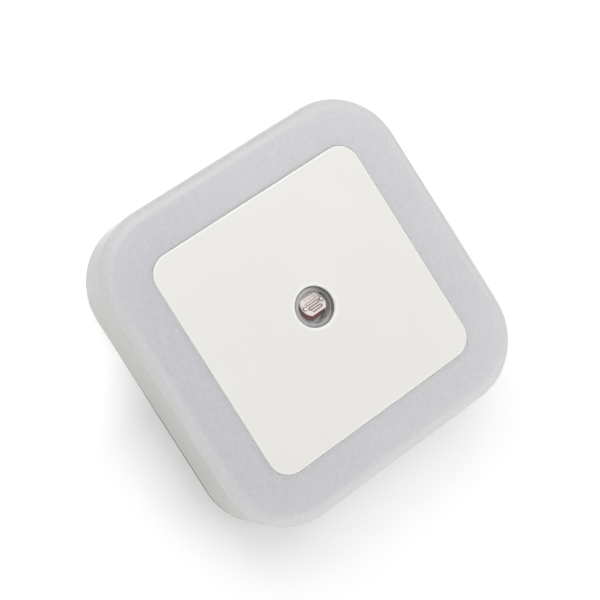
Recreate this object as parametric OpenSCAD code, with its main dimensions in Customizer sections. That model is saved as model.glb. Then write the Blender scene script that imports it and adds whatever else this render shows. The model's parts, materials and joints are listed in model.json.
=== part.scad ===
// Plug-in night light with a dusk sensor, for a two-pin European socket.
//
// Frame: +X to the right, +Z up and -Y towards the room. The origin is the middle of the plug
// face, between the two pins, which point along +Y into the socket.
//
// Every piece is drawn lying on its back: its depth runs along +Z from the plug face towards the
// room, and its height along +Y. upright() turns it into the frame above. Millimetres.

/* [Body] */
// Width and height of the square body
body_w = 63; // [60:0.5:70]
// Radius of the body's four corners
body_r = 13.1; // [10:0.1:14]
// Depth of the frosted diffuser, from its front face to its rear edge
diffuser_depth = 14.8; // [14:0.1:20]
// Wall thickness of the diffuser
diffuser_wall = 1.6; // [1.4:0.1:2]
// Radius that rounds the diffuser's front edge over
front_fillet = 2.2; // [1:0.1:3]
// Shadow gap between the diffuser and the rear cover
seam = 0.25; // [0.1:0.05:0.5]
// How far the rear cover's edge stays inside the diffuser's
rear_inset = 0.5; // [0.2:0.05:0.8]
// Thickness of the rear cover's plate
rear_t = 1.6; // [1.4:0.1:2.4]
// Radius that rounds the rear cover's edge over
rear_fillet = 1.1; // [0.5:0.1:1.3]

/* [Snap rim] */
// Height of the rim that plugs into the diffuser
rim_h = 6.4; // [5:0.1:8]
// Thickness of the rim
rim_t = 1.4; // [1.2:0.1:2]
// Gap between the rim and the diffuser's wall
rim_gap = 0.3; // [0.1:0.05:0.4]
// Length of each of the four catches
catch_l = 10; // [6:1:16]
// How far a catch stands out of the rim
catch_out = 0.6; // [0.5:0.05:0.8]

/* [Front plate] */
// Width and height of the plate
plate_w = 44.8; // [40:0.2:48]
// Radius of the plate's corners
plate_r = 4.1; // [2:0.1:8]
// Thickness of the plate
plate_t = 1.4; // [1.2:0.1:2]
// How far the plate stands proud of the diffuser
plate_proud = 0.2; // [0:0.05:0.4]
// Gap round the plate in its seat
plate_gap = 0.05; // [0.05:0.01:0.4]
// Bevel on the plate's front edges
plate_bevel = 0.25; // [0.1:0.05:0.4]
// Thickness of the seat under the plate
seat_t = 1.2; // [1:0.1:2]
// Diameter of the four staked pegs
peg_d = 2.4; // [2:0.1:3]
// Distance of each peg from the middle, across and up
peg_pos = 16; // [12:0.5:18]

/* [Sensor] */
// Diameter of the hole in the front plate
sensor_hole_d = 7.5; // [7:0.1:8]
// Radial gap round the clear window
window_gap = 0.1; // [0.05:0.05:0.2]
// Wall thickness of the window
window_wall = 0.5; // [0.4:0.05:0.6]
// Height of the window's dome
dome_h = 0.5; // [0.2:0.1:1]
// Length of the window
window_l = 8.2; // [7:0.1:8.8]
// Wall thickness of the light shield
shield_wall = 1.05; // [0.8:0.05:1.3]
// Width of the photocell across its round sides
photocell_d = 4.7; // [4.4:0.1:4.9]
// Width of the photocell across its flats
photocell_flat = 3.7; // [3.5:0.1:4.3]
// Thickness of the photocell
photocell_t = 2; // [1.6:0.1:2.2]
// Angle at which the photocell leans up on its leads
photocell_lean = 24; // [0:1:26]
// Depth of the photocell's middle behind the face of the plate
photocell_depth = 2.9; // [2.7:0.1:4]
// How far the photocell sits to the right of the middle
photocell_side = 0.5; // [0:0.1:0.6]
// Spacing of the photocell's leads and of its two contacts
photocell_pitch = 3.5; // [3.3:0.1:3.7]
// Number of strokes in the photocell's track
track_strokes = 6; // [4:1:7]

/* [Plug] */
// Width of the plug block
plug_w = 36; // [35:0.5:37]
// Height of the plug block
plug_d = 22; // [21:0.5:24]
// Corner radius of the plug block
plug_r = 7; // [5:0.5:7.5]
// How far the plug block stands out of the rear cover
plug_h = 16; // [15:0.5:20]
// Wall thickness of the plug block
plug_wall = 2; // [1.5:0.1:2.2]
// Thickness of the plug face
face_t = 2.5; // [2:0.1:4]
// Radius that rounds the edge of the plug face over
plug_fillet = 1.2; // [0.5:0.1:1.8]
// Spacing of the pins where they leave the plug face
pin_pitch = 18.6; // [17.5:0.1:19]
// Spacing of the pins at their tips
tip_pitch = 17.5; // [17:0.1:18.6]
// Diameter of a pin
pin_d = 4; // [3.8:0.1:4.2]
// Length of a pin outside the plug face
pin_l = 19; // [18:0.5:20]
// Rounding of a pin's tip
pin_round = 1; // [0.5:0.1:1.6]
// Length of a pin's insulating sleeve
sleeve_l = 10; // [8:0.5:12]
// Diameter of a pin's insulating sleeve
sleeve_d = 3.6; // [3.5:0.1:3.8]
// Thickness of the bar that clamps the pins
clamp_t = 1.8; // [1.4:0.1:2.4]

/* [Circuit board] */
// Width and height of the board
board_w = 46; // [44:0.5:50]
// Thickness of the board
board_t = 1.6; // [1:0.1:2]
// Height of the posts under the board
post_h = 3.4; // [3.3:0.1:5]
// Distance of each post from the middle, across and up
post_pos = 19.5; // [18:0.5:20]
// How far the middle of each LED lies outside the plug block's hollow
led_room = 1; // [1:0.1:3]
// Diameter of a component's lead
lead_d = 0.6; // [0.5:0.05:0.8]
// Diameter of a wire over its insulation
wire_d = 1.3; // [1:0.1:1.4]

/* [Hidden] */
$fn = 64;
lead_fn = 24;
eps = 0.01;
fit = 0.05;      // radial clearance of a peg, screw or tube in its hole
play = 0.15;     // radial clearance of a lead in the board, or of a pin in its clamp

// Depths, from the plug face towards the room
rear_z = plug_h;                            // rear face of the rear cover's plate
lip_z = rear_z + rear_t;                    // inside face of that plate
diffuser_z = lip_z + seam;                  // rear edge of the diffuser
front_z = diffuser_z + diffuser_depth;      // front face of the diffuser
plate_face_z = front_z + plate_proud;       // front face of the plate
plate_back_z = plate_face_z - plate_t;      // back of the plate, on its seat
seat_z = plate_back_z - seat_t;             // underside of the seat
board_back_z = lip_z + post_h;
board_front_z = board_back_z + board_t;

// Diffuser, snap rim and catches
inner_w = body_w - 2 * diffuser_wall;
inner_r = body_r - diffuser_wall;
inner_fillet = max(front_fillet - diffuser_wall, 0.5);
rear_w = body_w - 2 * rear_inset;
rim_w = inner_w - 2 * rim_gap;
rim_r = inner_r - rim_gap;
catch_h = 1.8;
catch_drop = 1.4;                           // from the top of the rim down to a catch
catch_z = lip_z + rim_h - catch_drop - catch_h;
catch_play = 0.3;
post_d = 5;
stub_d = [2, 1.6];                          // foot and tip of the stubs that locate the board
stub_out = 0.6;
peg_head_d = peg_d + 1.4;
peg_head_h = 0.7;

// Sensor stack
window_d = sensor_hole_d - 2 * window_gap;
window_bore = window_d - 2 * window_wall;
window_recess = 0.1;                        // depth of the dome's top behind the plate's face
window_top_z = plate_face_z - window_recess;
window_z = window_top_z - window_l;
ledge = 0.5;                                // width of the ledge that the window stands on
shield_d = sensor_hole_d + 2 * shield_wall;
well_d = shield_d + 4 * fit;
well_wall = 1.2;
well_gap = 1.8;                             // free height between the board and the well
well_z = board_front_z + well_gap;
dome_r = (pow(window_d / 2, 2) + dome_h * dome_h) / (2 * dome_h);
photocell_z = plate_face_z - photocell_depth;
face_layer = 0.12;
face_inset = 0.06;
track_w = 0.2;
track_h = 0.06;
track_pitch = 0.5;
track_half = 0.95;
contact_d = 0.8;
photocell_lead_d = 0.5;
bend_l = 1.4;                               // straight length of a lead behind the photocell

// Plug
pin_toe = atan((pin_pitch - tip_pitch) / 2 / pin_l);
pin_core_d = 2.8;
collar_d = 6;
collar_h = 1.5;
tail_d = 2.4;
tail_l = 5;
cup_d = 1.4;
cup_depth = 2.2;
clamp_z = face_t + collar_h;
tail_z = clamp_z + tail_l;
clamp_over = 1.5;                           // how far the clamp reaches past a pin's collar
clamp_l = pin_pitch + collar_d + 2 * clamp_over;
clamp_w = 8;
clamp_post_d = 5;
screw_d = 2.2;
screw_head_d = 4;
screw_head_h = 1.5;
screw_tip_l = 0.8;
screw_floor = 1;                            // thickness left under a screw's hole
screw_reserve = 0.6;                        // free depth below a screw's tip
thread_pitch = 0.7;
thread_depth = 0.3;

// Parts on the back of the board that hang into the plug block
cavity_w = plug_w - 2 * plug_wall;
cavity_d = plug_d - 2 * plug_wall;
cavity_r = plug_r - plug_wall;
standoff = 0.3;
film_size = [12, 5, 11];
film_pitch = 10;
film_room = [1.5, 1.6];                     // free room between it and the plug block's walls
film_pos = [-(cavity_w - film_size.x) / 2 + film_room.x, (cavity_d - film_size.y) / 2 - film_room.y];
can_d = 6.3;
can_l = 11;
can_pitch = 2.5;
can_room = [4.35, 1.35];
can_pos = [(cavity_w - can_d) / 2 - can_room.x, (cavity_d - can_d) / 2 - can_room.y];
sleeve_t = 0.12;
bead_z = 1.6;                               // how far the can's bead lies below its top
bead_h = 0.6;
bead_depth = 0.3;
vent = [3.6, 0.2, 0.15];                    // one arm of the cross scored in the can's end
part_room = 3;                              // from a part's middle to the plug block's wall
transistor_pos = [cavity_w / 2 - part_room, -1];
transistor_w = 4.6;
transistor_depth = 3.7;
transistor_h = 4.6;
transistor_standoff = 1;
transistor_pitch = 1.27;
fusible_pos = [-8, -(cavity_d / 2 - part_room - 0.5)];
fusible_d = 3.2;
fusible_l = 9;
fusible_pitch = 12.5;
bleeder_pos = [7, -(cavity_d / 2 - part_room)];
bleeder_d = 2.4;
bleeder_l = 6.3;
bleeder_pitch = 10;

// Parts on the board beyond the plug block
led_pos = cavity_w / 2 + led_room;          // distance of each LED from the middle
diode_row_y = -15;
diode_step = 8;
diode_d = 2.7;
diode_l = 5.2;
diode_pitch = 8;
diode_band_w = 0.8;
diode_band_t = 0.05;
led_size = [3.5, 2.8, 0.7];
led_window = [2.7, 2, 0.45];
chip_size = [2, 1.25, 0.5];
chip_spots = [[-10, 11], [10, 11], [-10, -3], [14, 7]];
joint_d = 1.1;
joint_h = 0.8;
tail_out = 1.1;                             // how far a lead comes out of the board

// Wires
wire_sides = 8;
wire_steps = 12;
wire_reach = 4;                             // how far a wire runs straight on from each end
strip_l = 0.4;                              // bare length between the insulation and the board
live_spot = [-13, -1.2];
neutral_spot = [7.5, -2];

// Spots on the board, as [across, up]
posts = [for (x = [-1, 1], y = [-1, 1]) [x, y] * post_pos];
screw_posts = [posts[0], posts[3]];
peg_posts = [posts[1], posts[2]];
led_spots = [for (a = [0:90:270]) [cos(a), sin(a)] * led_pos];
diode_spots = [for (i = [0:3]) [(i - 1.5) * diode_step, diode_row_y]];
wire_spots = [live_spot, neutral_spot];
photocell_y = -(photocell_t / 2 + bend_l) * sin(photocell_lean);
photocell_spots = [for (s = [-1, 1]) [photocell_side + s * photocell_pitch / 2, photocell_y]];
capacitor_spots = concat(
    [for (s = [-1, 1]) film_pos + [s * film_pitch / 2, 0]],
    [for (s = [-1, 1]) can_pos + [s * can_pitch / 2, 0]]
);
transistor_spots = [for (s = [-1:1]) transistor_pos + [s * transistor_pitch, 0]];
axial_spots = concat(
    [for (s = [-1, 1]) fusible_pos + [s * fusible_pitch / 2, 0]],
    [for (s = [-1, 1]) bleeder_pos + [s * bleeder_pitch / 2, 0]],
    [for (p = diode_spots, s = [-1, 1]) p + [0, s * diode_pitch / 2]]
);
front_joint_spots = concat(capacitor_spots, transistor_spots, axial_spots, wire_spots);
fusible_z = board_back_z - standoff - fusible_d / 2;
bleeder_z = board_back_z - standoff - bleeder_d / 2;
diode_z = board_back_z - standoff - diode_d / 2;

// ---- Shared shapes ----

// Turns a piece from lying on its back to upright on a wall
module upright() rotate([90, 0, 0]) children();

// Flat outline of a rectangle with round corners
module round_rect(w, d, r) {
    square([w - 2 * r, d], center = true);
    square([w, d - 2 * r], center = true);
    for (x = [-1, 1], y = [-1, 1]) translate([x * (w / 2 - r), y * (d / 2 - r)]) circle(r);
}

// Carries a flat profile round a rectangle with round corners. The profile's x runs outwards from
// the corner's centre, and its y is the height.
module swept_rect(w, d, r) {
    for (x = [-1, 1], y = [-1, 1])
        translate([x * (w / 2 - r), y * (d / 2 - r), 0])
            rotate([0, 0, x > 0 ? (y > 0 ? 0 : 270) : (y > 0 ? 90 : 180)])
                rotate_extrude(angle = 90) children();
    for (s = [0, 180]) rotate([0, 0, s]) {
        translate([w / 2 - r, d / 2 - r, 0]) rotate([90, 0, 0]) linear_extrude(d - 2 * r) children();
        translate([-(w / 2 - r), d / 2 - r, 0]) rotate([90, 0, 90])
            linear_extrude(w - 2 * r) children();
    }
}

// Slab with round corners whose upper edge is rounded over
module soft_slab(w, d, r, h, fillet) {
    translate([-(w / 2 - r), -(d / 2 - r), 0]) cube([w - 2 * r, d - 2 * r, h]);
    swept_rect(w, d, r) {
        union() {
            square([r - fillet, h]);
            square([r, h - fillet]);
            translate([r - fillet, h - fillet]) intersection() {
                circle(fillet);
                square(fillet);
            }
        }
    }
}

// Slab with round corners whose upper edge has a straight bevel
module bevelled_slab(w, d, r, h, bevel) {
    translate([-(w / 2 - r), -(d / 2 - r), 0]) cube([w - 2 * r, d - 2 * r, h]);
    swept_rect(w, d, r) polygon([[0, 0], [r, 0], [r, h - bevel], [r - bevel, h], [0, h]]);
}

module tube(outer, inner, h) difference() {
    cylinder(d = outer, h = h);
    translate([0, 0, -1]) cylinder(d = inner, h = h + 2);
}

// Places a child on each of the four sides of a square of width w, facing outwards along +X
module each_side(w) for (a = [0:90:270]) rotate([0, 0, a]) translate([w / 2, 0, 0]) children();

// Self-tapping screw with its head above z = 0 and a thread made of rings
module self_tapping_screw(length) {
    core = screw_d / 2 - thread_depth;
    rings = floor((length - screw_tip_l) / thread_pitch);
    flank = thread_pitch * 0.4;
    slot = [screw_head_d * 0.55, 0.5, 0.8];
    difference() {
        union() {
            cylinder(d1 = screw_head_d, d2 = screw_head_d * 0.7, h = screw_head_h);
            translate([0, 0, screw_tip_l - length])
                cylinder(r = core, h = length - screw_tip_l + eps);
            translate([0, 0, -length]) cylinder(r1 = 0.2, r2 = core, h = screw_tip_l + eps);
            for (i = [1:rings]) translate([0, 0, -i * thread_pitch]) {
                cylinder(r1 = core, r2 = screw_d / 2, h = flank);
                translate([0, 0, flank]) cylinder(r1 = screw_d / 2, r2 = core, h = flank);
            }
        }
        for (a = [0, 90]) rotate([0, 0, a])
            translate([-slot.x / 2, -slot.y / 2, screw_head_h - slot.z]) cube(slot + [0, 0, 1]);
    }
}

// Puts a child at one pin, side -1 or 1, with the pin's axis along z
module at_pin(side) {
    translate([side * pin_pitch / 2, 0, 0]) rotate([0, side * pin_toe, 0]) children();
}

// ---- Body ----

module diffuser() color("gainsboro", 0.9) upright() {
    seat_w = plate_w + 2 * plate_gap + 2 * diffuser_wall;
    pocket_w = plate_w + 2 * plate_gap;
    groove = [1 + catch_out, catch_l + 2 * catch_play, catch_h + 2 * catch_play];
    difference() {
        union() {
            difference() {
                translate([0, 0, diffuser_z])
                    soft_slab(body_w, body_w, body_r, diffuser_depth, front_fillet);
                translate([0, 0, diffuser_z - 1]) soft_slab(
                    inner_w, inner_w, inner_r, diffuser_depth - diffuser_wall + 1, inner_fillet);
            }
            translate([0, 0, seat_z]) linear_extrude(front_z - diffuser_wall / 2 - seat_z)
                round_rect(seat_w, seat_w, plate_r + plate_gap + diffuser_wall);
            translate([0, 0, well_z])
                cylinder(d = well_d + 2 * well_wall, h = seat_z - well_z + eps);
        }
        translate([0, 0, plate_back_z]) linear_extrude(plate_t + 1)
            round_rect(pocket_w, pocket_w, plate_r + plate_gap);
        translate([0, 0, well_z - 1]) cylinder(d = well_d, h = plate_back_z - well_z + 2);
        for (x = [-1, 1], y = [-1, 1]) translate([x * peg_pos, y * peg_pos, seat_z - 1])
            cylinder(d = peg_d + 2 * fit, h = seat_t + 2);
        each_side(inner_w) translate([-1, -groove.y / 2, catch_z - catch_play]) cube(groove);
    }
}

module front_plate() color("ivory") upright() {
    flare = plate_bevel + 1;
    stake_z = seat_z - fit - peg_head_h;
    difference() {
        translate([0, 0, plate_back_z])
            bevelled_slab(plate_w, plate_w, plate_r, plate_t, plate_bevel);
        translate([0, 0, plate_back_z - 1]) cylinder(d = sensor_hole_d, h = plate_t + 2);
        translate([0, 0, plate_face_z - plate_bevel])
            cylinder(d1 = sensor_hole_d, d2 = sensor_hole_d + 2 * flare, h = flare);
    }
    for (x = [-1, 1], y = [-1, 1]) translate([x * peg_pos, y * peg_pos, stake_z]) {
        cylinder(d = peg_d, h = plate_back_z - stake_z + eps);
        cylinder(d1 = peg_d, d2 = peg_head_d, h = peg_head_h);
    }
}

module rear_cover() color("white") upright() difference() {
    union() {
        translate([0, 0, lip_z]) mirror([0, 0, 1])
            soft_slab(rear_w, rear_w, body_r - rear_inset, rear_t, rear_fillet);
        translate([0, 0, rear_z + eps]) mirror([0, 0, 1])
            soft_slab(plug_w, plug_d, plug_r, plug_h + eps, plug_fillet);
        translate([0, 0, lip_z - eps]) difference() {
            linear_extrude(rim_h + eps) round_rect(rim_w, rim_w, rim_r);
            translate([0, 0, -1]) linear_extrude(rim_h + 2)
                round_rect(rim_w - 2 * rim_t, rim_w - 2 * rim_t, rim_r - rim_t);
        }
        each_side(rim_w) translate([0, catch_l / 2, catch_z]) rotate([90, 0, 0])
            linear_extrude(catch_l) polygon([
                [-eps, 0], [catch_out, catch_h * 0.15], [catch_out, catch_h * 0.45], [-eps, catch_h]
            ]);
        for (p = posts) translate([p.x, p.y, lip_z - eps]) cylinder(d = post_d, h = post_h + eps);
        for (p = peg_posts) translate([p.x, p.y, board_back_z - eps])
            cylinder(d1 = stub_d[0], d2 = stub_d[1], h = board_t + stub_out);
    }
    difference() {
        translate([0, 0, face_t]) linear_extrude(lip_z - face_t + 1)
            round_rect(cavity_w, cavity_d, cavity_r);
        translate([0, 0, face_t - 1]) cylinder(d = clamp_post_d, h = 1 + collar_h);
    }
    for (s = [-1, 1]) at_pin(s) {
        translate([0, 0, -1]) cylinder(d = pin_d + 2 * fit, h = face_t + 2);
        translate([0, 0, face_t]) cylinder(d = collar_d + 2 * play, h = collar_h + 1);
    }
    translate([0, 0, screw_floor]) cylinder(d = screw_d + 2 * fit, h = face_t + collar_h);
    for (p = screw_posts) translate([p.x, p.y, lip_z]) cylinder(d = screw_d + 2 * fit, h = post_h + 1);
}

// ---- Sensor ----

module sensor_window() color("lightblue", 0.5) upright() difference() {
    intersection() {
        translate([0, 0, window_z]) cylinder(d = window_d, h = window_l);
        translate([0, 0, window_top_z - dome_r]) sphere(r = dome_r);
    }
    intersection() {
        translate([0, 0, window_z - 1]) cylinder(d = window_bore, h = window_l + 1);
        translate([0, 0, window_top_z - dome_r]) sphere(r = dome_r - window_wall);
    }
}

module light_shield() color("dimgray") upright() difference() {
    translate([0, 0, board_front_z])
        cylinder(d = shield_d, h = plate_back_z - fit - board_front_z);
    translate([0, 0, window_z]) cylinder(d = sensor_hole_d, h = window_l);
    translate([0, 0, board_front_z - 1])
        cylinder(d = window_d - 2 * ledge, h = window_z - board_front_z + 2);
}

// The photocell's own frame: its middle at the origin and its face towards +Z, leaning up
module at_photocell()
    translate([photocell_side, 0, photocell_z]) rotate([-photocell_lean, 0, 0]) children();

module photocell_outline(inset) intersection() {
    circle(d = photocell_d - 2 * inset);
    square([photocell_d, photocell_flat - 2 * inset], center = true);
}

module photocell_body() color("darkred") upright() at_photocell()
    translate([0, 0, -photocell_t / 2]) linear_extrude(photocell_t - face_layer)
        photocell_outline(0);

module photocell_face() color("mistyrose") upright() at_photocell()
    translate([0, 0, photocell_t / 2 - face_layer]) linear_extrude(face_layer)
        photocell_outline(face_inset);

// The bend of the track between stroke i and the next
module track_bend(i) {
    side = i % 2 == 0 ? 1 : -1;
    translate([side * track_half, (i + 0.5 - (track_strokes - 1) / 2) * track_pitch])
        intersection() {
            difference() {
                circle(d = track_pitch + track_w);
                circle(d = track_pitch - track_w);
            }
            translate([side > 0 ? 0 : -track_pitch, -track_pitch])
                square([track_pitch, 2 * track_pitch]);
        }
}

module photocell_track() color("firebrick") upright() at_photocell()
    translate([0, 0, photocell_t / 2]) linear_extrude(track_h) {
        for (i = [0:track_strokes - 1])
            translate([-track_half, (i - (track_strokes - 1) / 2) * track_pitch - track_w / 2])
                square([2 * track_half, track_w]);
        for (i = [0:track_strokes - 2]) track_bend(i);
    }

module photocell_contacts() color("silver") upright() at_photocell()
    for (s = [-1, 1]) translate([s * photocell_pitch / 2, 0, photocell_t / 2]) intersection() {
        sphere(d = contact_d);
        translate([-contact_d, -contact_d, 0]) cube(2 * contact_d);
    }

module photocell_leads() color("silver") upright() {
    foot_z = board_back_z - tail_out;
    bend_z = photocell_z - (photocell_t / 2 + bend_l) * cos(photocell_lean);
    for (p = photocell_spots) {
        translate([p.x - photocell_side, 0, 0]) at_photocell() translate([0, 0, -photocell_t / 2 - bend_l])
            cylinder(d = photocell_lead_d, h = bend_l, $fn = lead_fn);
        translate([p.x, p.y, bend_z]) sphere(d = photocell_lead_d + 2 * eps, $fn = lead_fn);
        translate([p.x, p.y, foot_z])
            cylinder(d = photocell_lead_d, h = bend_z - foot_z, $fn = lead_fn);
    }
}

// ---- Circuit board ----

module board_holes(spots, d) for (p = spots)
    translate([p.x, p.y, board_back_z - 1]) cylinder(d = d, h = board_t + 2, $fn = lead_fn);

module circuit_board() color("seagreen") upright() difference() {
    translate([0, 0, board_back_z]) linear_extrude(board_t) round_rect(board_w, board_w, 2);
    board_holes(posts, screw_d + 4 * fit);
    board_holes(front_joint_spots, lead_d + 2 * play);
    board_holes(photocell_spots, photocell_lead_d + 2 * play);
}

module each_led() for (p = led_spots) translate([p.x, p.y, board_front_z]) children();

module led_packages() color("whitesmoke") upright() each_led() difference() {
    translate([0, 0, led_size.z / 2]) cube(led_size, center = true);
    translate([-led_window.x / 2, -led_window.y / 2, led_size.z - led_window.z])
        cube(led_window + [0, 0, 1]);
}

module led_phosphors() color("gold") upright() each_led() {
    phosphor = led_window - [2 * eps, 2 * eps, fit];
    translate([-phosphor.x / 2, -phosphor.y / 2, led_size.z - led_window.z]) cube(phosphor);
}

module chip_resistors() color("black") upright() for (p = chip_spots)
    translate([p.x - chip_size.x / 2, p.y - chip_size.y / 2, board_front_z]) cube(chip_size);

module film_capacitor() color("gold") upright()
    translate([film_pos.x, film_pos.y, board_back_z - standoff]) mirror([0, 0, 1])
        soft_slab(film_size.x, film_size.y, 0.6, film_size.z, 0.5);

module electrolytic_capacitor() color("silver") upright()
    translate([can_pos.x, can_pos.y, board_back_z - standoff - can_l]) {
        metal_d = can_d - 2 * sleeve_t;
        difference() {
            cylinder(d = metal_d, h = can_l);
            translate([0, 0, can_l - bead_z]) tube(can_d + 1, metal_d - 2 * bead_depth, bead_h);
            for (a = [0, 90]) rotate([0, 0, a])
                translate([-vent.x / 2, -vent.y / 2, -1]) cube(vent + [0, 0, 1]);
        }
    }

module capacitor_sleeve() color("navy") upright()
    translate([can_pos.x, can_pos.y, board_back_z - standoff - can_l + 0.1])
        tube(can_d, can_d - 2 * sleeve_t + 2 * eps, can_l - bead_z - 0.3);

// Puts a child at the start of a diode's cathode band, with the diode's axis along z
module at_band(p) translate([p.x, p.y, diode_z]) rotate([90, 0, 0])
    translate([0, 0, diode_l / 2 - 2 * diode_band_w]) children();

module rectifier_diodes() color("black") upright() for (p = diode_spots) difference() {
    translate([p.x, p.y + diode_l / 2, diode_z]) rotate([90, 0, 0]) cylinder(d = diode_d, h = diode_l);
    at_band(p) tube(diode_d + 1, diode_d - 2 * diode_band_t, diode_band_w);
}

module diode_bands() color("lightgray") upright() for (p = diode_spots)
    at_band(p) translate([0, 0, eps])
        tube(diode_d + 2 * eps, diode_d - 2 * diode_band_t + 2 * eps, diode_band_w - 2 * eps);

// Resistor body: a barrel with a wider cap at each end, lying along X
module resistor(d, l) rotate([0, 90, 0]) {
    cap = l * 0.25;
    cylinder(d = d * 0.85, h = l, center = true);
    for (s = [-1, 1]) translate([0, 0, s * (l - cap) / 2]) cylinder(d = d, h = cap, center = true);
}

module fusible_resistor() color("steelblue") upright()
    translate([fusible_pos.x, fusible_pos.y, fusible_z]) resistor(fusible_d, fusible_l);

module bleeder_resistor() color("tan") upright()
    translate([bleeder_pos.x, bleeder_pos.y, bleeder_z]) resistor(bleeder_d, bleeder_l);

module switching_transistor() color("black") upright() translate([
        transistor_pos.x, transistor_pos.y, board_back_z - transistor_standoff - transistor_h
    ]) linear_extrude(transistor_h) intersection() {
        circle(d = transistor_w);
        translate([-transistor_w / 2, -transistor_depth / 2])
            square([transistor_w, transistor_w]);
    }

// Straight lead from z = low up through the board
module straight_lead(p, low) translate([p.x, p.y, low])
    cylinder(d = lead_d, h = board_front_z + tail_out - low, $fn = lead_fn);

// The bent lead of an axial part: out of its end, and up through the board
module axial_lead(centre, z, end, toward) {
    translate([centre.x, centre.y, z]) rotate([0, 0, atan2(toward.y, toward.x)])
        translate([end, 0, 0]) rotate([0, 90, 0])
            cylinder(d = lead_d, h = norm(toward) - end, $fn = lead_fn);
    translate([centre.x + toward.x, centre.y + toward.y, z]) sphere(d = lead_d, $fn = lead_fn);
    straight_lead(centre + toward, z);
}

module component_leads() color("silver") upright() {
    for (p = capacitor_spots) straight_lead(p, board_back_z - standoff);
    for (p = transistor_spots) straight_lead(p, board_back_z - transistor_standoff);
    for (s = [-1, 1]) {
        axial_lead(fusible_pos, fusible_z, fusible_l / 2, [s * fusible_pitch / 2, 0]);
        axial_lead(bleeder_pos, bleeder_z, bleeder_l / 2, [s * bleeder_pitch / 2, 0]);
        for (p = diode_spots) axial_lead(p, diode_z, diode_l / 2, [0, s * diode_pitch / 2]);
    }
}

// Solder fillet round a lead of diameter d, rising from z = 0
module solder_joint(d) difference() {
    cylinder(d1 = joint_d, d2 = d + 0.1, h = joint_h, $fn = lead_fn);
    translate([0, 0, -1]) cylinder(d = d, h = joint_h + 2, $fn = lead_fn);
}

module solder_joints() color("lightsteelblue") upright() {
    for (p = front_joint_spots) translate([p.x, p.y, board_front_z]) solder_joint(lead_d);
    for (p = photocell_spots) translate([p.x, p.y, board_back_z]) mirror([0, 0, 1])
        solder_joint(photocell_lead_d);
}

module board_screws() color("silver") upright() for (p = screw_posts)
    translate([p.x, p.y, board_front_z]) self_tapping_screw(board_t + post_h - screw_reserve);

// ---- Plug ----

module pin() {
    translate([0, 0, -pin_l + pin_round]) cylinder(d = pin_d, h = pin_l - pin_round - sleeve_l);
    translate([0, 0, -pin_l]) rotate_extrude() {
        square([pin_d / 2 - pin_round, pin_round]);
        translate([pin_d / 2 - pin_round, pin_round]) intersection() {
            circle(pin_round);
            translate([0, -pin_round]) square(pin_round);
        }
    }
    translate([0, 0, -sleeve_l - eps]) cylinder(d = pin_core_d, h = sleeve_l + 2 * eps);
    cylinder(d = pin_d, h = face_t + eps);
    translate([0, 0, face_t]) cylinder(d = collar_d, h = collar_h);
    difference() {
        translate([0, 0, clamp_z - eps]) cylinder(d = tail_d, h = tail_l + eps);
        translate([0, 0, tail_z - cup_depth]) cylinder(d = cup_d, h = cup_depth + 1);
    }
}

module pin_left() color("silver") upright() at_pin(-1) pin();

module pin_right() color("silver") upright() at_pin(1) pin();

module pin_sleeves() color("white") upright() for (s = [-1, 1]) at_pin(s)
    translate([0, 0, -sleeve_l + fit / 2]) tube(sleeve_d, pin_core_d + fit, sleeve_l - fit);

module pin_clamp() color("beige") upright() difference() {
    translate([0, 0, clamp_z + fit]) linear_extrude(clamp_t) round_rect(clamp_l, clamp_w, 2);
    for (s = [-1, 1]) at_pin(s) {
        translate([0, 0, clamp_z - 1]) cylinder(d = collar_d + 2 * play, h = 1 + fit);
        translate([0, 0, clamp_z - 1]) cylinder(d = tail_d + 2 * play, h = clamp_t + 2);
    }
    translate([0, 0, clamp_z - 1]) cylinder(d = screw_d + 4 * fit, h = clamp_t + 2);
}

module clamp_screw() color("silver") upright()
    translate([0, 0, clamp_z + clamp_t + 2 * fit])
        self_tapping_screw(clamp_t + collar_h + face_t - screw_floor - screw_reserve);

// A wire runs as a cubic curve from its pin's solder cup to its spot on the board. It leaves the
// cup along the pin and meets the board square on.
function unit(v) = v / norm(v);
function wire_knots(side, spot) = let (
    axis = [side * sin(pin_toe), 0, cos(pin_toe)],
    start = [side * pin_pitch / 2, 0, 0] + (tail_z + strip_l) * axis,
    finish = [spot.x, spot.y, board_back_z - strip_l]
) [start, start + wire_reach * axis, finish - [0, 0, wire_reach], finish];
function wire_point(k, t) =
    pow(1 - t, 3) * k[0] + 3 * t * pow(1 - t, 2) * k[1] + 3 * t * t * (1 - t) * k[2] + pow(t, 3) * k[3];
function wire_way(k, t) = unit(
    pow(1 - t, 2) * (k[1] - k[0]) + 2 * t * (1 - t) * (k[2] - k[1]) + t * t * (k[3] - k[2])
);

// Ring of corners round point p, square to the direction t
function wire_ring(p, t) = let (u = unit(cross([0, 1, 0], t)), v = cross(t, u)) [
    for (i = [0:wire_sides - 1]) let (a = 360 * i / wire_sides)
        p + wire_d / 2 * (cos(a) * u + sin(a) * v)
];

module wire(side, spot) {
    knots = wire_knots(side, spot);
    n = wire_sides;
    points = [
        for (i = [0:wire_steps]) let (t = i / wire_steps)
            each wire_ring(wire_point(knots, t), wire_way(knots, t))
    ];
    walls = [
        for (i = [0:wire_steps - 1], j = [0:n - 1]) let (a = i * n + j, b = i * n + (j + 1) % n)
            each [[a, a + n, b], [b, a + n, b + n]]
    ];
    ends = [[for (j = [0:n - 1]) j], [for (j = [n - 1:-1:0]) wire_steps * n + j]];
    polyhedron(points = points, faces = concat(ends, walls));
}

module live_wire() color("saddlebrown") upright() wire(-1, live_spot);

module neutral_wire() color("royalblue") upright() wire(1, neutral_spot);

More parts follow.
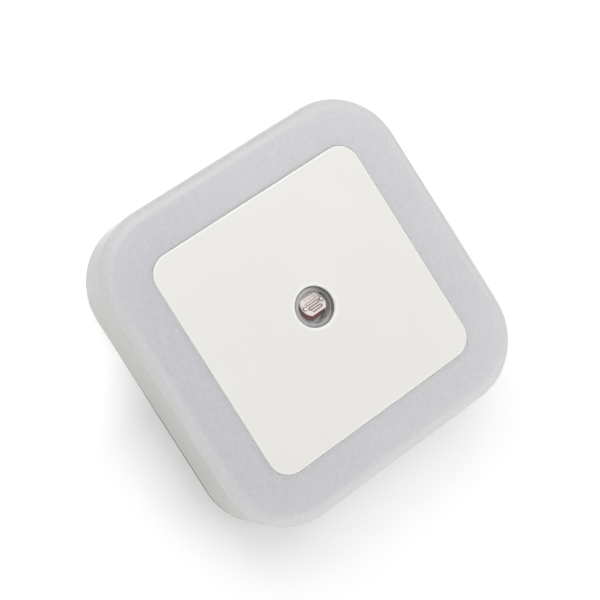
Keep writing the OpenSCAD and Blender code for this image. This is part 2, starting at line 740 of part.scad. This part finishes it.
module wire_ends() color("silver") upright() {
    for (p = wire_spots) straight_lead(p, board_back_z - strip_l);
    for (s = [-1, 1]) at_pin(s) translate([0, 0, tail_z - cup_depth])
        cylinder(d = lead_d, h = cup_depth + strip_l, $fn = lead_fn);
}

diffuser();
front_plate();
sensor_window();
light_shield();
photocell_body();
photocell_face();
photocell_track();
photocell_contacts();
photocell_leads();
circuit_board();
led_packages();
led_phosphors();
chip_resistors();
film_capacitor();
electrolytic_capacitor();
capacitor_sleeve();
rectifier_diodes();
diode_bands();
fusible_resistor();
bleeder_resistor();
switching_transistor();
component_leads();
solder_joints();
board_screws();
rear_cover();
pin_clamp();
clamp_screw();
pin_left();
pin_right();
pin_sleeves();
live_wire();
neutral_wire();
wire_ends();
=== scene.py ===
"""Looks, stage, lights and camera for the plug-in night light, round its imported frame."""

import json
from math import cos, radians, sin, sqrt, tau

import bmesh
import bpy
from mathutils import Matrix, Vector


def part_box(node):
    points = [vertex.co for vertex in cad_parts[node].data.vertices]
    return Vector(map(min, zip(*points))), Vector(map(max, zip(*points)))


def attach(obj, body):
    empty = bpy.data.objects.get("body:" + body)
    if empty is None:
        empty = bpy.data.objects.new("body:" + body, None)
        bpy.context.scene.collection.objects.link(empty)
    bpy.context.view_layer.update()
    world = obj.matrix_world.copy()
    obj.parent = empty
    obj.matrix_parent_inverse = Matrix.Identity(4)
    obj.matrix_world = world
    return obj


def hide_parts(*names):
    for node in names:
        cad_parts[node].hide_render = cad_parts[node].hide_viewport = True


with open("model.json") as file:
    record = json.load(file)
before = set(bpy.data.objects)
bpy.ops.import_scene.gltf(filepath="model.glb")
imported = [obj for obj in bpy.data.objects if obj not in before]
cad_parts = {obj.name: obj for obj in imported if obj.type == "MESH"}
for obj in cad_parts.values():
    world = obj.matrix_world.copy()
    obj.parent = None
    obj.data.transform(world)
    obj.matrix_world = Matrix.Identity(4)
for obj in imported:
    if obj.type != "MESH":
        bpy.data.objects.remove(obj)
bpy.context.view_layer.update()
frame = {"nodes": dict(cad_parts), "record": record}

nodes = frame["nodes"]
MM = 0.001

# ---- Places: the frame's boxes, with the radii that part.scad gives its solids ----

BODY_LO, BODY_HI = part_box("diffuser")
PLATE_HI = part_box("front_plate")[1]
FACE_Y = BODY_LO.y
BODY_HALF, BODY_R = BODY_HI.x, 13.1 * MM
FILLET = 2.2 * MM
PLATE_HALF, PLATE_R = PLATE_HI.x, 4.1 * MM
HOLE_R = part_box("sensor_window")[1].x
BORE_R = HOLE_R - 0.5 * MM

# ---- Material helpers ----


def rgb(*colour):
    return (*colour, 1.0)


def shade(colour, factor):
    return rgb(*(min(c * factor, 1.0) for c in colour))


class Nodes:
    """Short calls that make and link the nodes of one tree."""

    def __init__(self, tree):
        self.tree = tree

    def put(self, socket, value):
        """Links the socket to another one, or sets it to a plain value."""
        if isinstance(value, bpy.types.NodeSocket):
            self.tree.links.new(value, socket)
        else:
            socket.default_value = value

    def node(self, kind, inputs=None, **settings):
        made = self.tree.nodes.new(kind)
        for key, value in settings.items():
            setattr(made, key, value)
        for socket, value in (inputs or {}).items():
            self.put(made.inputs[socket], value)
        return made

    def maths(self, operation, *values):
        made = self.node("ShaderNodeMath", operation=operation)
        for socket, value in zip(made.inputs, values):
            self.put(socket, value)
        return made.outputs[0]

    def looked_at(self):
        """1 for rays from the camera, off a gloss or through glass, else 0."""
        path = self.node("ShaderNodeLightPath").outputs
        bounced = self.maths("MAXIMUM", path["Is Glossy Ray"], path["Is Transmission Ray"])
        return self.maths("MAXIMUM", path["Is Camera Ray"], bounced)


class Surface(Nodes):
    """A material round one Principled shader; constants are set on the shader's own sockets."""

    def __init__(self, name, **constants):
        self.material = bpy.data.materials.new(name)
        self.material.use_nodes = True
        super().__init__(self.material.node_tree)
        self.shader = self.tree.nodes["Principled BSDF"]
        self.place = self.node("ShaderNodeTexCoord").outputs["Object"]
        for socket, value in constants.items():
            self.feed(socket.replace("_", " "), value)

    def feed(self, socket, value):
        self.put(self.shader.inputs[socket], value)

    def noise(self, size_mm, detail=2.0, stretch=(1, 1, 1)):
        """Noise of about that grain size, from 0 to 1, drawn out along an axis by stretch."""
        scaled = self.node(
            "ShaderNodeMapping",
            {"Vector": self.place, "Scale": [1 / s for s in stretch]},
        )
        return self.node(
            "ShaderNodeTexNoise",
            {"Vector": scaled.outputs["Vector"], "Scale": 1 / (size_mm * MM), "Detail": detail},
        ).outputs["Fac"]

    def span(self, value, low, high, start=0.3, stop=0.7):
        """Takes value's stretch from start to stop to the stretch from low to high."""
        return self.node(
            "ShaderNodeMapRange",
            {"Value": value, "From Min": start, "From Max": stop, "To Min": low, "To Max": high},
        ).outputs["Result"]

    def blend(self, factor, first, second):
        """The first colour where factor is 0, the second where it is 1."""
        made = self.node("ShaderNodeMix", data_type="RGBA")
        in_use = [socket for socket in made.inputs if socket.enabled]
        for socket, value in zip(in_use, (factor, first, second)):
            self.put(socket, value)
        return next(socket for socket in made.outputs if socket.enabled)

    def along(self, axis):
        """A point's place along that axis."""
        return self.node("ShaderNodeSeparateXYZ", {"Vector": self.place}).outputs[axis]

    def from_axis(self):
        """Distance from the plug's axis."""
        squares = [self.maths("POWER", self.along(axis), 2.0) for axis in ("X", "Z")]
        return self.maths("SQRT", self.maths("ADD", *squares))

    def within_square(self, half, radius):
        """How far a point lies within a square with round corners, seen from the front."""
        over = [
            self.maths("SUBTRACT", self.maths("ABSOLUTE", self.along(axis)), half - radius)
            for axis in ("X", "Z")
        ]
        squares = [self.maths("POWER", self.maths("MAXIMUM", o, 0.0), 2.0) for o in over]
        corner = self.maths("SQRT", self.maths("ADD", *squares))
        side = self.maths("MINIMUM", self.maths("MAXIMUM", *over), 0.0)
        return self.maths("SUBTRACT", radius, self.maths("ADD", corner, side))

    def relief(self, *layers):
        """Bump from one or more (height, depth in mm) layers."""
        normal = None
        for height, depth_mm in layers:
            inputs = {"Height": height, "Distance": depth_mm * MM, "Strength": 1.0}
            if normal:
                inputs["Normal"] = normal
            normal = self.node("ShaderNodeBump", inputs).outputs["Normal"]
        self.feed("Normal", normal)


def plastic(name, colour, roughness, grain_mm=0.4, vary=0.03, relief_mm=0.004, **constants):
    """Moulded plastic, resin or lacquer: fine grain over slow clouds, in colour and in gloss."""
    s = Surface(name, **constants)
    grain = s.noise(grain_mm, 3)
    cloud = s.noise(grain_mm * 25, 2)
    both = s.blend(0.35, grain, cloud)
    darker, paler = shade(colour, 1 - vary), shade(colour, 1 + vary)
    s.feed("Base Color", s.blend(s.span(both, 0, 1), darker, paler))
    s.feed("Roughness", s.span(cloud, roughness * 0.9, roughness * 1.12))
    s.relief((grain, relief_mm))
    return s.material


def metal(name, colour, roughness, grain_mm=0.25, stretch=(1, 1, 1), relief_mm=0.002):
    """Plated or drawn metal: faint scratches along the stretched axis, and tarnish in clouds."""
    s = Surface(name, Metallic=1.0)
    scratch = s.noise(grain_mm, 2, stretch)
    tarnish = s.noise(3.0, 3)
    s.feed("Base Color", s.blend(s.span(tarnish, 0, 1), shade(colour, 0.9), shade(colour, 1.04)))
    s.feed("Roughness", s.span(scratch, roughness * 0.75, roughness * 1.35))
    s.relief((scratch, relief_mm))
    return s.material


def frosted():
    """The diffuser: milky plastic with a spark-eroded face, cool in front and warmer at its sides.

    Its tint is laid on in zones with soft borders, from the face outwards, and most of it is
    painted light and shade.
    """
    s = Surface(
        "frosted_plastic", IOR=1.58, Specular_IOR_Level=0.5,
        Subsurface_Scale=3.0 * MM, Subsurface_Radius=(1.0, 0.97, 0.95),
    )
    across, height, depth = (s.along(axis) for axis in ("X", "Z", "Y"))
    within = s.within_square(BODY_HALF, BODY_R)

    # Face: painted shade, darkest at its left; painted light, paler in its corners and in a band by
    # the plate that lightens the shade of the gap round the plate
    inwards = s.span(across, 0, 1, -BODY_HALF, 0)
    sides = s.blend(inwards, rgb(0.548, 0.540, 0.572), rgb(0.604, 0.590, 0.615))
    corners = s.blend(inwards, rgb(0.572, 0.563, 0.597), rgb(0.630, 0.616, 0.642))
    tint = s.blend(s.span(s.from_axis(), 0, 1, 30 * MM, 38 * MM), sides, corners)
    plate_strip_painted_light = s.span(s.within_square(PLATE_HALF, PLATE_R), 0, 1, -0.55 * MM, -0.05 * MM)
    tint = s.blend(plate_strip_painted_light, tint, rgb(0.78, 0.765, 0.765))

    # Rounded edge: painted light, palest low down, and painted shade, darker towards the outline on
    # its high side
    lowest = s.span(height, 1, 0, -BODY_HALF, -0.8 * BODY_HALF)
    edge_painted_light = s.blend(lowest, rgb(0.600, 0.591, 0.602), rgb(0.655, 0.648, 0.652))
    tint = s.blend(s.span(within, 1, 0, 0.8 * FILLET, 1.3 * FILLET), tint, edge_painted_light)
    high_side = s.span(s.maths("ADD", across, height), 0, 1, -0.4 * BODY_HALF, 0.6 * BODY_HALF)
    outer = s.blend(high_side, rgb(0.640, 0.630, 0.634), rgb(0.500, 0.491, 0.503))
    tint = s.blend(s.span(within, 1, 0, 0.4 * MM, 1.5 * MM), tint, outer)

    # Side wall: painted shade, paler higher up and darker at the two upper corners
    upwards = s.span(height, 0, 1, -BODY_HALF, BODY_HALF)
    wall = s.blend(upwards, rgb(0.545, 0.535, 0.510), rgb(0.605, 0.596, 0.577))
    to_the_side = s.span(s.maths("ABSOLUTE", across), 0, 1, 14 * MM, 24 * MM)
    shaded = s.maths("MULTIPLY", s.span(height, 0, 1, 24 * MM, 29 * MM), to_the_side)
    wall = s.blend(shaded, wall, rgb(0.45, 0.443, 0.43))
    tint = s.blend(s.span(within, 1, 0, 0.01 * MM, 0.1 * FILLET), tint, wall)

    # Seam: a painted shadow, a dark line on the rear edge for the shade in the gap behind it, along
    # the lower part, with no light scattered into it
    rear_edge = s.span(depth, 0, 1, BODY_HI.y - 0.85 * MM, BODY_HI.y - 0.7 * MM)
    seam_painted_shadow = s.maths("MULTIPLY", s.span(height, 1, 0, -4 * MM, 14 * MM), rear_edge)
    tint = s.blend(seam_painted_shadow, tint, rgb(0.06, 0.06, 0.058))
    s.feed("Subsurface Weight", s.maths("SUBTRACT", 1.0, seam_painted_shadow))

    speckle, pit = s.noise(0.55, 3), s.noise(0.22, 2)
    s.feed("Base Color", s.blend(s.span(speckle, 0, 0.12), tint, rgb(1, 1, 1)))
    s.feed("Roughness", s.span(pit, 0.42, 0.56))
    s.relief((pit, 0.006), (speckle, 0.008))
    return s.material


def plate():
    """The centre plate: smooth warm white, with a painted highlight, paler along its outer edge and
    round its hole.
    """
    s = Surface("plate_plastic", Specular_IOR_Level=0.5)
    grain, cloud = s.noise(0.7, 3), s.noise(17, 2)
    tint = s.blend(s.span(cloud, 0, 1), rgb(0.794, 0.784, 0.749), rgb(0.806, 0.796, 0.761))
    # Painted highlight on the bevels of the outline and of the hole
    rim = s.span(s.within_square(PLATE_HALF, PLATE_R), 1, 0, 0.2 * MM, 0.45 * MM)
    hole_painted_highlight = s.span(s.from_axis(), 1, 0, HOLE_R + 0.45 * MM, HOLE_R + 0.75 * MM)
    edge = s.maths("MAXIMUM", rim, hole_painted_highlight)
    s.feed("Base Color", s.blend(edge, tint, rgb(0.90, 0.89, 0.87)))
    s.feed("Roughness", s.span(grain, 0.27, 0.34))
    s.relief((grain, 0.001))
    return s.material


def contact():
    """A photocell's contact: a pale dot of solder, whitened further as a painted highlight, in a
    dark ring of painted shade round its edge.
    """
    s = Surface("contact_silver", Metallic=0.5)
    low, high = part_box("photocell_contacts")
    middle = (low + high) / 2
    radius = (high.z - low.z) / 2
    reach = (high.x - low.x) / 2 - radius
    across = s.maths("ABSOLUTE", s.maths("SUBTRACT", s.along("X"), middle.x))
    offsets = s.maths("SUBTRACT", across, reach), s.maths("SUBTRACT", s.along("Z"), middle.z)
    squares = [s.maths("POWER", s.maths("ABSOLUTE", o), 2.0) for o in offsets]
    ring = s.span(s.maths("SQRT", s.maths("ADD", *squares)), 0, 1, 0.6 * radius, 0.8 * radius)
    grain = s.noise(0.15)
    # Painted highlight: the dot near white; painted shade: the dark ring round it
    bright = s.blend(s.span(grain, 0, 1), rgb(0.92, 0.92, 0.91), rgb(1.0, 1.0, 0.99))
    s.feed("Base Color", s.blend(ring, bright, rgb(0.10, 0.05, 0.045)))
    s.feed("Roughness", s.span(grain, 0.4, 0.55))
    return s.material


def clear_window():
    """Clear cap: a polished dome over a bore whose thin wall is milky, with painted light on the
    inside of the bore and painted shade on its right and round its outer rim.
    """
    s = Surface("clear_plastic", IOR=1.49, Specular_IOR_Level=0.06)
    haze = s.noise(1.5, 2)
    radius, depth = s.from_axis(), s.along("Y")
    wall = s.span(radius, 0, 1, BORE_R - 0.15 * MM, BORE_R - 0.02 * MM)
    inside = s.span(depth, 0, 1, FACE_Y + 0.35 * MM, FACE_Y + 0.55 * MM)
    # Painted shade: a dark outer rim and a darker right side; painted light: a pale inside of the
    # bore
    rim = s.span(radius, 0, 1, HOLE_R - 0.17 * MM, HOLE_R - 0.03 * MM)
    right = s.span(s.along("X"), 0, 1, 0.6 * MM, 2.6 * MM)
    edge = s.blend(s.span(haze, 0, 1), rgb(0.43, 0.43, 0.42), rgb(0.53, 0.53, 0.52))
    edge = s.blend(right, edge, rgb(0.17, 0.165, 0.16))
    bore = s.blend(right, rgb(0.90, 0.90, 0.88), rgb(0.26, 0.25, 0.25))
    wall_painted_light_and_shade = s.blend(rim, s.blend(inside, edge, bore), rgb(0.12, 0.12, 0.12))
    s.feed("Base Color", s.blend(wall, rgb(0.97, 0.98, 0.985), wall_painted_light_and_shade))
    s.feed("Transmission Weight", s.span(wall, 1.0, 0.1, 0, 1))
    s.feed("Roughness", s.maths("ADD", s.span(haze, 0.02, 0.06), s.span(wall, 0, 0.15, 0, 1)))
    s.relief((haze, 0.002))
    return s.material


def track():
    """The photocell's track: dark, paler towards its upper end where a painted reflection lies over
    it.
    """
    s = Surface("cell_track")
    low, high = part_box("photocell_track")
    middle = (low.z + high.z) / 2
    grain = s.noise(0.15, 3)
    dark = s.blend(s.span(grain, 0, 1), rgb(0.10, 0.014, 0.010), rgb(0.15, 0.025, 0.018))
    upper_painted_reflection = s.span(s.along("Z"), 0, 1, middle - 0.1 * MM, middle + 0.6 * MM)
    s.feed("Base Color", s.blend(upper_painted_reflection, dark, rgb(0.50, 0.30, 0.26)))
    s.feed("Roughness", s.span(grain, 0.3, 0.45))
    s.relief((grain, 0.004))
    return s.material


def board():
    """Green lacquer over copper runs, which show as paler, raised lines."""
    s = Surface("board_laminate", IOR=1.5)
    facing = s.node("ShaderNodeMapping", {"Vector": s.place, "Rotation": (radians(90), 0, 0)})
    runs = s.node(
        "ShaderNodeTexBrick",
        {
            "Vector": facing.outputs["Vector"],
            "Scale": 1 / (5.0 * MM),
            "Mortar Size": 0.07,
            "Brick Width": 1.4,
            "Row Height": 0.9,
        },
        offset=0.37,
    ).outputs["Fac"]
    weave = s.noise(0.5, 2)
    lacquer = s.blend(s.span(weave, 0, 1), rgb(0.018, 0.105, 0.045), rgb(0.026, 0.135, 0.058))
    s.feed("Base Color", s.blend(runs, lacquer, rgb(0.06, 0.24, 0.09)))
    s.feed("Roughness", s.span(weave, 0.28, 0.4))
    s.relief((runs, 0.03), (weave, 0.004))
    return s.material


# Colour and roughness, then grain in mm, variation and relief in mm
PLASTICS = {
    "shield_plastic": ((0.84, 0.84, 0.83), 0.40, 0.3, 0.03, 0.004),
    "cell_electrode": ((0.72, 0.65, 0.62), 0.35, 0.25, 0.02, 0.004),
    "led_housing": ((0.82, 0.82, 0.79), 0.45, 0.3, 0.02, 0.003),
    "led_phosphor": ((0.85, 0.57, 0.06), 0.35, 0.2, 0.06, 0.006),
    "chip_ceramic": ((0.02, 0.02, 0.024), 0.28, 0.2, 0.15, 0.004),
    "film_resin": ((0.60, 0.35, 0.03), 0.32, 0.8, 0.05, 0.012),
    "can_sleeve": ((0.012, 0.018, 0.07), 0.30, 0.5, 0.08, 0.006),
    "diode_resin": ((0.018, 0.018, 0.018), 0.50, 0.3, 0.15, 0.006),
    "band_paint": ((0.52, 0.52, 0.51), 0.45, 0.25, 0.08, 0.006),
    "fusible_paint": ((0.06, 0.16, 0.28), 0.40, 0.5, 0.08, 0.010),
    "bleeder_paint": ((0.52, 0.34, 0.16), 0.40, 0.5, 0.08, 0.010),
    "cover_plastic": ((0.80, 0.80, 0.775), 0.38, 0.45, 0.012, 0.006),
    "clamp_plastic": ((0.68, 0.62, 0.46), 0.50, 0.45, 0.04, 0.006),
    "sleeve_plastic": ((0.78, 0.78, 0.76), 0.35, 0.35, 0.015, 0.003),
    "live_insulation": ((0.10, 0.035, 0.012), 0.35, 0.4, 0.08, 0.006),
    "neutral_insulation": ((0.012, 0.04, 0.30), 0.35, 0.4, 0.08, 0.006),
}
# Colour and roughness, then grain in mm and stretch
METALS = {
    "tinned_metal": ((0.88, 0.88, 0.87), 0.35),
    "can_metal": ((0.82, 0.82, 0.83), 0.26, 0.2, (1, 12, 1)),
    "solder": ((0.66, 0.67, 0.70), 0.30, 0.35),
    "screw_steel": ((0.62, 0.62, 0.60), 0.34, 0.2),
    "pin_metal": ((0.52, 0.50, 0.46), 0.22, 0.18, (1, 30, 1)),
}
MATERIALS = {
    "frosted_plastic": frosted(),
    "plate_plastic": plate(),
    "clear_plastic": clear_window(),
    "cell_resin": plastic(
        "cell_resin", (0.21, 0.008, 0.010), 0.35, 1.0, 0.05, 0.002, Specular_IOR_Level=0.05),
    "cell_track": track(),
    "board_laminate": board(),
    **{name: plastic(name, *finish) for name, finish in PLASTICS.items()},
    **{name: metal(name, *finish) for name, finish in METALS.items()},
}

for part in frame["record"]["subparts"]:
    nodes[part["node"]].material_slots[0].material = MATERIALS[part["material_slot"]]
nodes["photocell_contacts"].material_slots[0].material = contact()

# ---- Window: the CAD node's own shape with an even surface, since light bends in it ----

WINDOW_WALL, DOME_HEIGHT = HOLE_R - BORE_R, 0.5 * MM
ROUND_STEPS, DOME_STEPS = 96, 12


def lathe(name, profile):
    """Closed solid turned about the plug's axis from (radius, depth) points.

    The first and the last point lie on the axis.
    """
    shape = bmesh.new()
    rings = []
    for radius, depth in profile:
        turns = ROUND_STEPS if radius else 1
        rings.append([
            shape.verts.new((radius * cos(tau * i / turns), depth, radius * sin(tau * i / turns)))
            for i in range(turns)
        ])
    for first, second in zip(rings, rings[1:]):
        for i in range(ROUND_STEPS):
            places = (first, i), (first, i + 1), (second, i + 1), (second, i)
            corners = [turned[j % len(turned)] for turned, j in places]
            shape.faces.new(list(dict.fromkeys(corners))).smooth = True
    bmesh.ops.recalc_face_normals(shape, faces=shape.faces)
    mesh = bpy.data.meshes.new(name)
    shape.to_mesh(mesh)
    shape.free()
    mesh.set_sharp_from_angle(angle=radians(30))
    made = bpy.data.objects.new(name, mesh)
    bpy.context.scene.collection.objects.link(made)
    return made


def window_profile():
    low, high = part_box("sensor_window")
    dome_r = (HOLE_R ** 2 + DOME_HEIGHT ** 2) / (2 * DOME_HEIGHT)
    middle = low.y + dome_r

    def dome(radius, edge):
        steps = [edge * i / DOME_STEPS for i in range(DOME_STEPS + 1)]
        return [(r, middle - sqrt(radius ** 2 - r ** 2)) for r in steps]

    inner = dome(dome_r - WINDOW_WALL, BORE_R)
    return dome(dome_r, HOLE_R) + [(HOLE_R, high.y), (BORE_R, high.y)] + inner[::-1]


def dress(piece, material):
    piece.data.materials.append(MATERIALS[material])
    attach(piece, "root")


window = lathe("window", window_profile())
dress(window, "clear_plastic")
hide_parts("sensor_window")
window.visible_shadow = False       # lets the lamps reach what lies behind it

# A pale disc in the window's bore, right behind the photocell
DISC_FRONT, DISC_REAR = FACE_Y + 5.2 * MM, FACE_Y + 6.0 * MM
DISC_R = BORE_R - 0.05 * MM
disc = lathe(
    "photocell_disc",
    [(0, DISC_FRONT), (DISC_R, DISC_FRONT), (DISC_R, DISC_REAR), (0, DISC_REAR)])
dress(disc, "shield_plastic")

# ---- Camera: close in front, a little to the left, rolled so that the square stands askew ----

AZIMUTH, ELEVATION, ROLL = radians(-19.20), radians(2.73), radians(32.20)
DISTANCE = 257.9 * MM
AIM = Vector((5.2 * MM, FACE_Y, 16.27 * MM))
FOCAL_PX = 1440.9
CENTRE_PX = (289.4, 214.6)
FRAME_PX = 600
SENSOR_MM = 36.0


def direction(azimuth, elevation):
    """Unit vector out of the object; azimuth 0 is straight towards the room."""
    return Vector((
        sin(azimuth) * cos(elevation),
        -cos(azimuth) * cos(elevation),
        sin(elevation),
    ))


def axes(back, roll=0.0):
    """Rotation whose z is back, with its x level before it is rolled anticlockwise."""
    right = Vector((0, 0, 1)).cross(back).normalized()
    up = back.cross(right)
    turned = right * cos(roll) - up * sin(roll)
    return Matrix((turned, back.cross(turned), back)).transposed()


back = direction(AZIMUTH, ELEVATION)
camera_data = bpy.data.cameras.new("camera")
camera_data.sensor_width = SENSOR_MM
camera_data.lens = FOCAL_PX * SENSOR_MM / FRAME_PX
camera_data.shift_x = (FRAME_PX / 2 - CENTRE_PX[0]) / FRAME_PX
camera_data.shift_y = (CENTRE_PX[1] - FRAME_PX / 2) / FRAME_PX
camera_data.clip_start = 5 * MM
camera_data.clip_end = 20.0
camera = bpy.data.objects.new("camera", camera_data)
bpy.context.scene.collection.objects.link(camera)
camera.matrix_world = Matrix.Translation(AIM + back * DISTANCE) @ axes(back, ROLL).to_4x4()
bpy.context.scene.camera = camera

# ---- Backdrop: a white wall right behind the body, open where the body covers it ----

WALL_Y = -15.95 * MM                # just behind the rear face of the rear cover's plate
WALL_HALF, WALL_R = 2.0, 0.5
OPENING_HALF = BODY_HALF - 4 * MM
OPENING_R = 9 * MM
CORNER_STEPS = 8
WALL_GLOW = 0.145, 0.40             # added where the wall is looked at, low down and high up; the stronger glow high up is painted light that clears the shadow there
PAINTED_SHADOW_BESIDE = 0.05                  # painted shadow: less of it right beside the body, but for its lowest part


def wall_material():
    """White paper in front, shadowed by the object, with painted light and a painted shadow in its
    glow; seen from behind it is not there.
    """
    s = Surface("white_wall")
    s.tree.nodes.remove(s.shader)
    height = s.along("Z")
    beside = s.maths(
        "MULTIPLY", s.span(height, 0, 1, -27 * MM, -19 * MM),
        s.span(s.within_square(BODY_HALF, BODY_R), 0, PAINTED_SHADOW_BESIDE, -10 * MM, -5 * MM))
    level = s.maths("SUBTRACT", s.span(height, *WALL_GLOW, -1 * MM, 12 * MM), beside)
    seen = s.maths("MULTIPLY", s.looked_at(), level)
    glow = s.node("ShaderNodeEmission", {"Strength": seen})
    paper = s.node("ShaderNodeBsdfDiffuse", {"Color": rgb(0.92, 0.92, 0.92)})
    lit = s.node("ShaderNodeAddShader", {0: paper.outputs[0], 1: glow.outputs[0]})
    clear = s.node("ShaderNodeBsdfTransparent")
    behind = s.node("ShaderNodeNewGeometry").outputs["Backfacing"]
    shown = s.node("ShaderNodeMixShader", {0: behind, 1: lit.outputs[0], 2: clear.outputs[0]})
    s.put(s.tree.nodes["Material Output"].inputs["Surface"], shown.outputs[0])
    return s.material


def ring(half, radius):
    """Corners of a square with round corners, anticlockwise seen from the room."""
    points = []
    for quarter, (x, z) in enumerate(((1, 1), (-1, 1), (-1, -1), (1, -1))):
        middle = Vector((x, z)) * (half - radius)
        for step in range(CORNER_STEPS + 1):
            a = radians(90) * (quarter + step / CORNER_STEPS)
            points.append((middle.x + radius * cos(a), WALL_Y, middle.y + radius * sin(a)))
    return points


inner, outer = ring(OPENING_HALF, OPENING_R), ring(WALL_HALF, WALL_R)
count = len(inner)
steps = [(i, (i + 1) % count) for i in range(count)]
wall_mesh = bpy.data.meshes.new("wall")
wall_mesh.from_pydata(inner + outer, [], [(i, count + i, count + j, j) for i, j in steps])
wall_mesh.materials.append(wall_material())
wall = bpy.data.objects.new("wall", wall_mesh)
bpy.context.scene.collection.objects.link(wall)
wall.visible_shadow = False

# ---- Lights: an even pale room, and soft boxes all round ----

ROOM_LEVEL = 0.5
LIGHT_DISTANCE = 500 * MM
LIGHT_SIZE = 350 * MM

world = bpy.data.worlds.new("pale_room")
world.use_nodes = True
bpy.context.scene.world = world
sky = Nodes(world.node_tree)
room, white = (
    sky.node("ShaderNodeBackground", {"Color": rgb(1, 1, 1), "Strength": level}).outputs[0]
    for level in (ROOM_LEVEL, 1.0)
)
seen_sky = sky.node("ShaderNodeMixShader", {0: sky.looked_at(), 1: room, 2: white})
sky.put(sky.tree.nodes["World Output"].inputs["Surface"], seen_sky.outputs[0])
sky.tree.nodes.remove(sky.tree.nodes["Background"])


def soft_box(name, azimuth, elevation, power):
    """Square area light that faces the object; angles in degrees, power in watts."""
    data = bpy.data.lights.new(name, "AREA")
    data.shape = "SQUARE"
    data.size = LIGHT_SIZE
    data.energy = power
    box = bpy.data.objects.new(name, data)
    bpy.context.scene.collection.objects.link(box)
    back = direction(radians(azimuth), radians(elevation))
    middle = (BODY_LO + BODY_HI) / 2
    box.matrix_world = Matrix.Translation(middle + back * LIGHT_DISTANCE) @ axes(back).to_4x4()


for box in (
    ("front_light", 17, 25, 0.90),
    ("top_light", -18, 54, 0.52),
    ("right_light", 51, -26, 0.30),
    ("low_right_light", 47, -60, 0.16),
    ("low_left_light", -65, -55, 0.60),
    ("rear_light", 165, 20, 0.9),
):
    soft_box(*box)

# ---- View settings ----

bpy.context.scene.view_settings.view_transform = "Standard"
